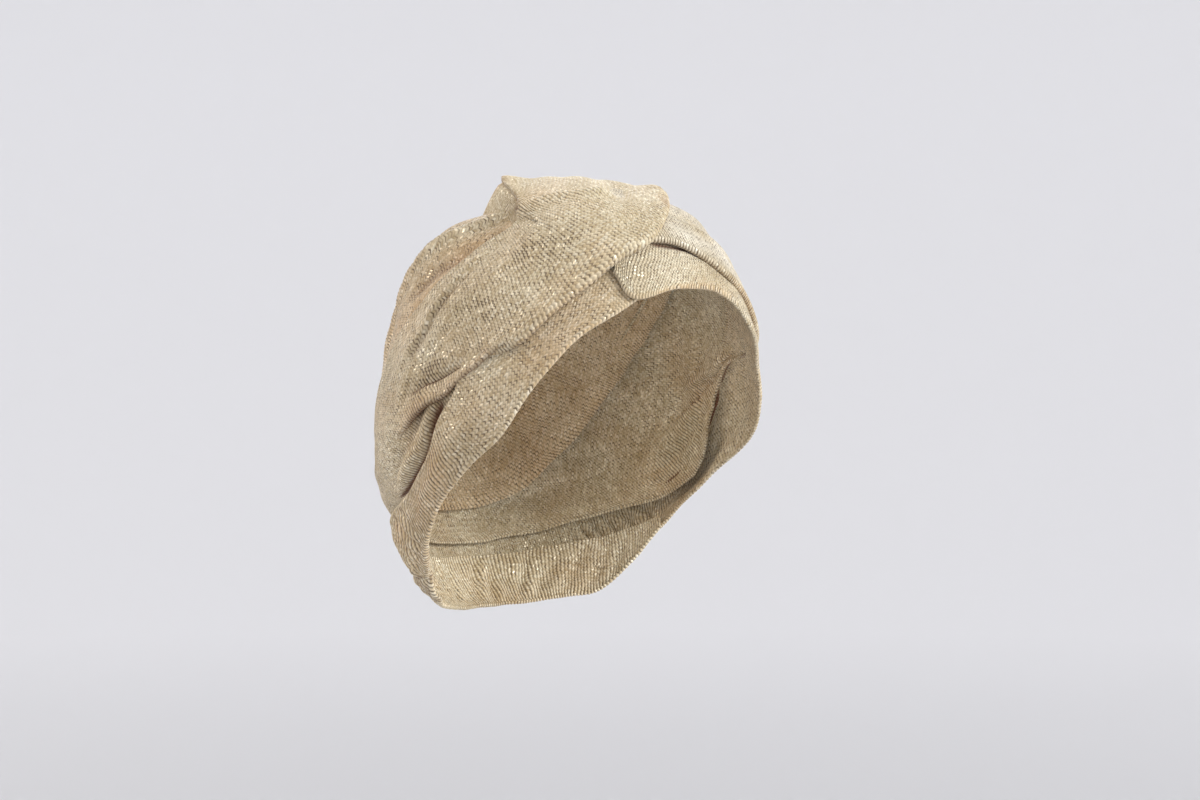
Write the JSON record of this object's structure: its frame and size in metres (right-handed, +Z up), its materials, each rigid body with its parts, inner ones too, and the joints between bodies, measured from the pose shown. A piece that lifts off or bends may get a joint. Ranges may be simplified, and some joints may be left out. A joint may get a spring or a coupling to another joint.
{
  "type": "knitted headband",
  "caption": "Wide metallic knit headband with a twisted knot over the forehead, gathered at the nape and open at the crown, in its worn shape.",
  "frame": {"origin": "centre of the head that wears the band, a head 156 mm wide, 194 mm long and 105 mm from its centre to its crown", "axes": "+Z up through the crown, -Y towards the wearer's front, so the wearer's right is -X"},
  "size_m": [0.1697, 0.185, 0.2023],
  "materials": {
    "champagne_knit": "soft jersey knit with a metallic thread, pale champagne gold, slightly sparkling"
  },
  "bodies": {
    "root": {"right_upper_wrap": "champagne_knit", "right_lower_band": "champagne_knit", "right_back_panel": "champagne_knit", "left_upper_wrap": "champagne_knit", "left_lower_band": "champagne_knit", "left_back_panel": "champagne_knit", "nape_fold": "champagne_knit"}
  },
  "joints": []
}
